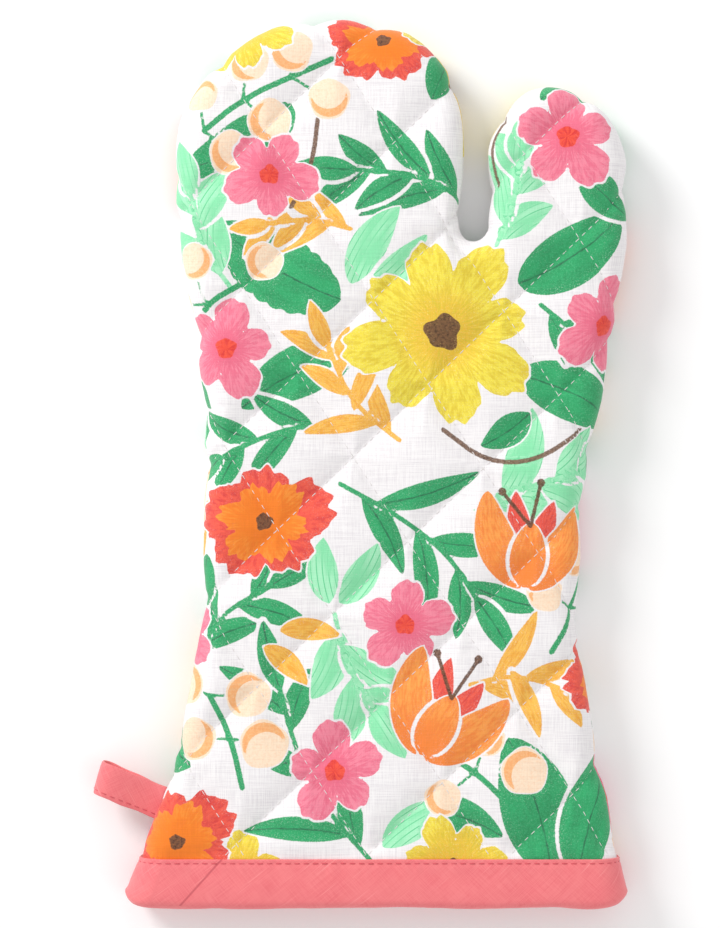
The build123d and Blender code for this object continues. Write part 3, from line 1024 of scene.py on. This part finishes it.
# A bead's rings: place along it, share of its thickness, and height in mm. Its ends dip into the cloth.
STITCH_RINGS = [(-0.5, 0.4, -0.22), (-0.40, 0.9, 0.0), (0.0, 1.0, 0.06), (0.40, 0.9, 0.0), (0.5, 0.4, -0.22)]
STITCH_FACES = tube_faces(len(STITCH_RINGS), STITCH_SECTION)


def stitches(name, starts, ends, outward, material, thickness=0.33):
    """One short thread bead from each start to its end, in mm."""
    v, f, cloth = [], [], []
    turns = [2 * math.pi * k / STITCH_SECTION for k in range(STITCH_SECTION)]
    for a, b, out in zip(starts, ends, outward):
        along = (b - a) / np.linalg.norm(b - a)
        out = out - along * (out @ along)
        out = out / np.linalg.norm(out)
        across = np.cross(along, out)
        f += [tuple(len(v) + k for k in face) for face in STITCH_FACES]
        for share, part, rise in STITCH_RINGS:
            radius = part * thickness / 2
            middle = (a + b) / 2 + (b - a) * share + out * rise
            for turn in turns:
                v.append(middle + radius * (across * math.cos(turn) + out * math.sin(turn)))
                cloth.append((a[0] + share * 2.4, a[1], turn))
    obj = new_object(name, v, f, material)
    add_vectors(obj, "cloth", cloth)
    return obj


def quilting_rows():
    """Start and end of every quilting stitch, in plan."""
    starts, ends = [], []
    for angle, pitch, offset in QUILT:
        direction, across = heading(angle), heading(angle + 90)
        for row in range(-6, 7):
            base = across * (offset + pitch * row)
            jitter = (row * 1.37) % STITCH_PITCH
            for s in np.arange(-230 + jitter, 230, STITCH_PITCH):
                starts.append(base + direction * s)
                ends.append(base + direction * (s + STITCH_LENGTH))
    starts, ends = np.array(starts), np.array(ends)
    middles = (starts + ends) / 2
    gap, _ = edge_distance(middles)
    usable = inside(middles, EDGE_P) & (gap > 1.2) & (middles[:, 1] > BINDING_TOP + 1.8)
    return starts[usable], ends[usable]


row_starts, row_ends = quilting_rows()
middles = (row_starts + row_ends) / 2
for side in SIDES:
    a, b = (lift_points(p, side, 0.03) for p in (row_starts, row_ends))
    up = lift_points(middles, side, 1.0) - lift_points(middles, side, 0.0)
    up[:, 2] = np.where(np.abs(up[:, 2]) < 1e-6, SIDES[side], up[:, 2])
    for place in PLACES:
        chosen = region_of(middles) == place
        node = f"{place}_{side}_quilting_thread"
        obj = stitches(node + "_soft", a[chosen], b[chosen], up[chosen], FABRIC["thread"])
        fasten(obj, place)
        stand_in(obj, "thread", node)

# The side seam's stitches lie deep in the groove between the panels.
SEAM_EVERY = 4               # outline samples to a stitch
SEAM_SPACE = 0.12            # of a stitch's pitch, left free at each end of it
seam_n = EDGE_N[::SEAM_EVERY]
seam_plan = EDGE_P[::SEAM_EVERY]
seam_depth = 0.1 - swell(seam_plan, np.zeros(len(seam_plan)), SEEDS["front"])
seam_line = np.column_stack([seam_plan + seam_n * seam_depth[:, None], np.full(len(seam_plan), MID)])
seam_step = seam_line[1:] - seam_line[:-1]
seam_middle = (seam_line[1:, :2] + seam_line[:-1, :2]) / 2
seam_out = np.column_stack([-seam_n[:-1], np.zeros(len(seam_middle))])
for place in PLACES:
    chosen = (seam_middle[:, 1] > BINDING_TOP + 2) & (region_of(seam_middle) == place)
    start = (seam_line[:-1] + seam_step * SEAM_SPACE)[chosen]
    end = (seam_line[1:] - seam_step * SEAM_SPACE)[chosen]
    node = f"{place}_seam_thread"
    obj = stitches(node + "_soft", start, end, seam_out[chosen], FABRIC["thread"])
    fasten(obj, place)
    stand_in(obj, "thread", node)

# ---- Cuff binding ----
def cuff_end(edge):
    """The part of one side's edge that is near the cuff, from low to high y."""
    low = edge[edge[:, 1] < -60]
    return low[np.argsort(low[:, 1])]


half = len(EDGE_P) // 2
CUFF_ENDS = cuff_end(EDGE_P[:half]), cuff_end(EDGE_P[half:])


def half_width(y):
    """x of the outline's left and right edges at a height along the mitt."""
    return [np.interp(y, end[:, 1], end[:, 0]) for end in CUFF_ENDS]


def cuff_section(s, y, inset):
    """A point on the cuff's rounded section, and the normal there. s runs once round it from 0 to 1."""
    left, right = half_width(y)
    radius = EDGE_RADIUS - inset
    low_x, high_x = left + inset + radius, right - inset - radius
    quarter = math.pi / 2 * radius
    ends = np.cumsum([high_x - low_x, quarter, 2 * SIDE_BAND, quarter] * 2)
    at = (s % 1.0) * ends[-1]
    k = min(int(np.searchsorted(ends, at, side="right")), 7)
    t = at - (ends[k - 1] if k else 0.0)
    # The section's straights and corners take turns. Each corner is about one of four centres.
    high_z, low_z = MID + SIDE_BAND, MID - SIDE_BAND
    centres = [(low_x, high_z), (high_x, high_z), (high_x, low_z), (low_x, low_z)]
    corner = k % 2
    turn = k // 2 * math.pi / 2 + (t / radius if corner else 0.0)
    x, z = centres[(k // 2 + corner) % 4]
    n = np.array([math.sin(turn), 0, math.cos(turn)])
    along = np.array([math.cos(turn), 0, -math.sin(turn)])
    return np.array([x, y, z]) + n * radius + along * (0.0 if corner else t), n


CUFF_LOOP = 440              # points round the cuff
SKIN_OUT = -0.25             # depth of the binding's outer face, just proud of the panels
OUTER_BACK = 0.7             # depth of its outer leg's hidden face
INNER_FACE = 6.3             # depth of its inner leg's face
INNER_BACK = 5.45            # depth of that leg's hidden face
FOLD_MIDDLE = 3.0            # depth of the middle of the fold
FOLD_START = CUFF_Y + 3.2    # y where its legs turn into the fold
FOLD_BACK = CUFF_Y + 3.6     # the same on the hidden side


def binding_profile():
    """The tape's section as (height along the mitt, depth), one closed loop."""
    top = BINDING_TOP
    outer = [(top - 0.15, 0.75), (top + 0.05, 0.45), (top + 0.02, 0.1), (top - 0.4, SKIN_OUT)]
    outer += [(y, SKIN_OUT) for y in np.linspace(top - 1.0, FOLD_START, 18)]
    angles = np.linspace(0.25, math.pi - 0.25, 9)
    fold = [(FOLD_START - 3.1 * math.sin(a), FOLD_MIDDLE - 3.2 * math.cos(a)) for a in angles]
    inner = [(y, INNER_FACE) for y in np.linspace(FOLD_START, top - 1.0, 8)]
    lip = [(top - 0.1, INNER_FACE - 0.1), (top, INNER_FACE - 0.4), (top - 0.2, INNER_FACE - 0.8)]
    inner_back = [(y, INNER_BACK) for y in np.linspace(top - 1.2, FOLD_BACK, 6)]
    angles = np.linspace(0.3, math.pi - 0.3, 5)
    fold_back = [(FOLD_BACK - 2.3 * math.sin(a), FOLD_MIDDLE + 2.3 * math.cos(a)) for a in angles]
    outer_back = [(y, OUTER_BACK) for y in np.linspace(FOLD_BACK, top - 1.2, 6)]
    return outer + fold + inner + lip + inner_back + fold_back + outer_back


def noise_at(x, y, seed):
    """The noise at one point."""
    return noise2(np.array([x]), np.array([y]), seed)[0]


TOPSTITCH_Y = BINDING_TOP - 1.5


def binding_point(s, y, depth):
    """A point of the tape, with its slack waves and rounded side corners."""
    p, n = cuff_section(s, y, max(depth, 0.0))
    left, right = half_width(y)
    across = (p[0] - (left + right) / 2) / ((right - left) / 2)
    # The folded edge waves, and turns up at the two side corners.
    wave = 0.75 * noise_at(p[0] / 17.0, MID + p[2] / 9.0, 41)
    wave += 0.2 * noise_at(p[0] / 6.0, p[2] / 9.0, 43)
    p[1] += smooth(y, CUFF_Y + 9.0, CUFF_Y) * (wave + 3.4 * abs(across) ** 24)
    lift = -min(depth, 0.0)
    if depth < 1:
        # The outer leg swings in and out, sinks under its stitches, puckers there and swells below.
        swing = 0.23 * noise_at(p[0] / 9.0 + p[1] / 13.0, p[1] / 7.0, 45)
        press = -0.35 * math.exp(-(((y - TOPSTITCH_Y) / 0.8) ** 2))
        pucker = 0.22 * noise_at(p[0] / 1.9, p[1] / 5.0, 47) * math.exp(-abs(y - TOPSTITCH_Y) / 3.5)
        roll = 0.45 * math.exp(-(((y - CUFF_Y - 7) / 6.0) ** 2))
        lift += swing + press + pucker + roll
    p = p + n * lift
    p[2] = max(p[2], FLOOR_GAP * 0.5)
    return p


JOIN = np.array([-58.3, BINDING_TOP - 7.4])      # the tape's two ends are joined on this line
JOIN_NORMAL = heading(-42)
NO_JOIN = 20.0               # distance from the join where there is none
left, right = half_width(CUFF_Y)
girth = 2 * (right - left)   # the cuff is flat, so its way round is twice its width
profile = binding_profile()
tape = np.concatenate([[0], np.cumsum(np.hypot(*np.diff(np.array(profile), axis=0).T))])
verts, cloth = [], []
for s in np.arange(CUFF_LOOP) / CUFF_LOOP:
    for (y, depth), along in zip(profile, tape):
        point = binding_point(s, y, depth)
        on_front = depth < 0.6 and point[2] > MID
        join_gap = (point[:2] - JOIN) @ JOIN_NORMAL if on_front else NO_JOIN
        verts.append(point)
        cloth.append((s * girth, along, join_gap))
faces = [(a, d, c, b) for a, b, c, d in tube_faces(CUFF_LOOP, len(profile), closed=True)]
binding = new_object("cuff_binding_tape", verts, faces, FABRIC["binding"])
add_vectors(binding, "cloth", cloth)
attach(binding, "palm")
stand_in(binding, "binding", "cuff_binding")

# Its row of topstitches, near the upper edge.
count = int(girth / STITCH_PITCH)
starts, ends, outs = [], [], []
for i in range(count):
    span = (i / count, (i + 0.72) / count)
    for row, s in zip((starts, ends), span):
        point = binding_point(s, TOPSTITCH_Y, SKIN_OUT)
        point[2] = max(point[2], STITCH_FLOOR + 0.08)
        row.append(point)
    outs.append(cuff_section(sum(span) / 2, TOPSTITCH_Y, 0)[1])
topstitch = stitches("binding_topstitch_thread", starts, ends, outs, FABRIC["binding_thread"], 0.5)
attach(topstitch, "palm")
stand_in(topstitch, "binding_thread", "binding_topstitch")

# ---- Hanging loop ----
LOOP_SEAM = np.array([-76.0, -126.2])    # where the strap's middle leaves the side seam
LOOP_DIR = heading(157.0)
LOOP_ACROSS = heading(254.0)
LOOP_WIDTH = 12.4
LOOP_LENGTH = 24.2           # from the seam to the tip
EYE = 3.8                    # inner radius of the turn at the tip
STRAP = 1.15                 # thickness of the strap
LOOP_STITCHES = 0.37         # the topstitch row, as a share of the width from the middle
LOOP_BEND = (0.4, 4.0)       # the stretch handed to bend(), from the seam


def loop_line():
    """The strap's middle line in side view, from the seam, round the eye and back."""
    centre = LOOP_LENGTH - STRAP - EYE
    r = EYE + STRAP / 2
    upper = [(-3.0, 0.62), (-1.0, 0.62), (1.5, 0.66), (4.0, 1.0)]
    upper += [(x, 1.0 + (r * 0.98 - 1.0) * smooth(x, 2.0, centre)) for x in np.linspace(6.0, centre - 1.0, 8)]
    turn = [(centre + r * math.sin(a), r * math.cos(a)) for a in np.linspace(0.1, math.pi - 0.1, 15)]
    lower = [(x, -z) for x, z in reversed(upper)]
    return np.array(upper + turn + lower)


line = loop_line()
tangent = np.gradient(line, axis=0)
tangent /= np.linalg.norm(tangent, axis=1)[:, None]
side_dir = np.column_stack([-tangent[:, 1], tangent[:, 0]])
length = np.concatenate([[0], np.cumsum(np.linalg.norm(np.diff(line, axis=0), axis=1))])
length_of_strap = float(length[-1])


def from_side(x, z, across):
    """A point of the loop: x along it from the seam, z above the mid-plane, and across its width."""
    return np.array([*(LOOP_SEAM + LOOP_DIR * x + LOOP_ACROSS * across), MID + z])


# The section's points as shares of the width and of the thickness, once round.
STRAP_SECTION = [(t, 0.5) for t in np.linspace(-0.47, 0.47, 9)] + [(0.5, 0.25), (0.5, -0.25)]
STRAP_SECTION += [(t, -0.5) for t in np.linspace(0.47, -0.47, 9)] + [(-0.5, -0.25), (-0.5, 0.25)]
verts, cloth = [], []
for middle, out, along in zip(line, side_dir, length):
    for across, thick in STRAP_SECTION:
        edge = 1 - 0.35 * smooth(abs(across), 0.40, 0.5)
        ripple = 0.05 * math.sin(along * 0.7 + across * 5)
        sway = 0.15 * math.sin(along * 0.5)
        x, z = middle + out * (thick * STRAP * edge + ripple)
        verts.append(from_side(x, z, across * LOOP_WIDTH + sway))
        cloth.append((across * LOOP_WIDTH, along, NO_JOIN))
strap_faces = tube_faces(len(line), len(STRAP_SECTION))
strap = new_object("hanging_loop_strap", verts, strap_faces, FABRIC["binding"])
add_vectors(strap, "cloth", cloth)
bend_start, bend_end = (LOOP_SEAM + LOOP_DIR * at for at in LOOP_BEND)
bend(strap, "loop", bend_start, bend_end)
stand_in(strap, "binding", "hanging_loop", "loop_ends")

# Its own topstitches, near one edge, along the outer face.
outer_face = line + side_dir * (STRAP / 2 + 0.02)
spots = np.arange(2.4, length_of_strap - 2.4, STITCH_PITCH)


def read_along(at, values):
    """A value of the strap's side view at a length along it."""
    return [np.interp(at, length, column) for column in values.T]


def on_strap(at):
    """A point of the topstitch row."""
    return from_side(*read_along(at, outer_face), LOOP_STITCHES * LOOP_WIDTH)


starts = [on_strap(at) for at in spots]
ends = [on_strap(at + STITCH_LENGTH) for at in spots]
outs = []
for at in spots:
    x, z = read_along(at + STITCH_LENGTH / 2, side_dir)
    outs.append(np.array([*(LOOP_DIR * x), z]))
loop_stitches = stitches("hanging_loop_topstitch", starts, ends, outs, FABRIC["binding_thread"], 0.42)
bend(loop_stitches, "loop", bend_start, bend_end)

# The stitches that hold its ends in the seam.
TACKS = 5
starts, ends = ([from_side(-2.0, 1.3, LOOP_WIDTH * ((k + share) / TACKS - 0.5)) for k in range(TACKS)]
                for share in (0.3, 0.9))
outs = [np.array([0, 0, 1.0])] * TACKS
tack = stitches("loop_tack_stitches", starts, ends, outs, FABRIC["binding_thread"], 0.5)
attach(tack, "palm")
stand_in(tack, "binding_thread", "loop_tack_thread")

# ---- Floor, light and camera ----
FLOOR_HALF = 3000.0          # mm
m = Nodes("studio_floor")
tone = m.noise(m.add("NewGeometry", "Position", {}), 3.0, 2.0, 0.5)
color = m.mix(tone, rgb(250, 250, 250), rgb(252, 252, 252))
floor_material = m.finish(color, m.bump(tone, 0.01, 0.0005), 0.9, 0.0)
corners = [(x * FLOOR_HALF, y * FLOOR_HALF, 0) for x, y in ((-1, -1), (1, -1), (1, 1), (-1, 1))]
floor = new_object("floor", corners, [(0, 1, 2, 3)], floor_material, False)


def area_light(name, place, size, power):
    """A round lamp that points at the origin. Place and size in metres, power in watts."""
    data = bpy.data.lights.new(name, "AREA")
    data.shape = "DISK"
    data.size = size
    data.energy = power
    light = bpy.data.objects.new(name, data)
    light.location = place
    light.rotation_euler = (-Vector(place)).to_track_quat("-Z", "Y").to_euler()
    bpy.context.scene.collection.objects.link(light)


area_light("key", (-1.1, 1.0, 0.85), 0.7, 18)
area_light("fill", (1.2, -0.7, 1.5), 1.4, 3)
world = bpy.data.worlds.new("studio")
world.use_nodes = True
background = world.node_tree.nodes["Background"]
background.inputs["Color"].default_value = (1, 1, 1, 1)
background.inputs["Strength"].default_value = 0.80
bpy.context.scene.world = world
bpy.context.scene.view_settings.view_transform = "Standard"

# The camera looks straight down, as the photo does.
camera_data = bpy.data.cameras.new("camera")
camera_data.lens = 120
camera_data.sensor_width = 36
camera = bpy.data.objects.new("camera", camera_data)
camera.location = (-0.0006, -0.0007, 1.162)
bpy.context.scene.collection.objects.link(camera)
bpy.context.scene.camera = camera


# ---- Sizes and areas of the cloth and lining pieces ----
def surface_area(faces, points):
    """The area in square metres of triangles whose points are in mm."""
    a, b, c = points[faces[:, 0]], points[faces[:, 1]], points[faces[:, 2]]
    return float(np.linalg.norm(np.cross(b - a, c - a), axis=1).sum() / 2) * MM * MM


for side in SIDES:
    for place in PLACES:
        for kind, plan, depth in (("cloth", fine_plan, 0.0), ("lining", coarse_plan, BATTING_DEPTH)):
            chosen = plan.faces[plan.region[place]]
            used = plan.cloth[np.unique(chosen)]
            width, length = (used.max(0) - used.min(0)) * MM
            area = surface_area(chosen, plan.place(depth))
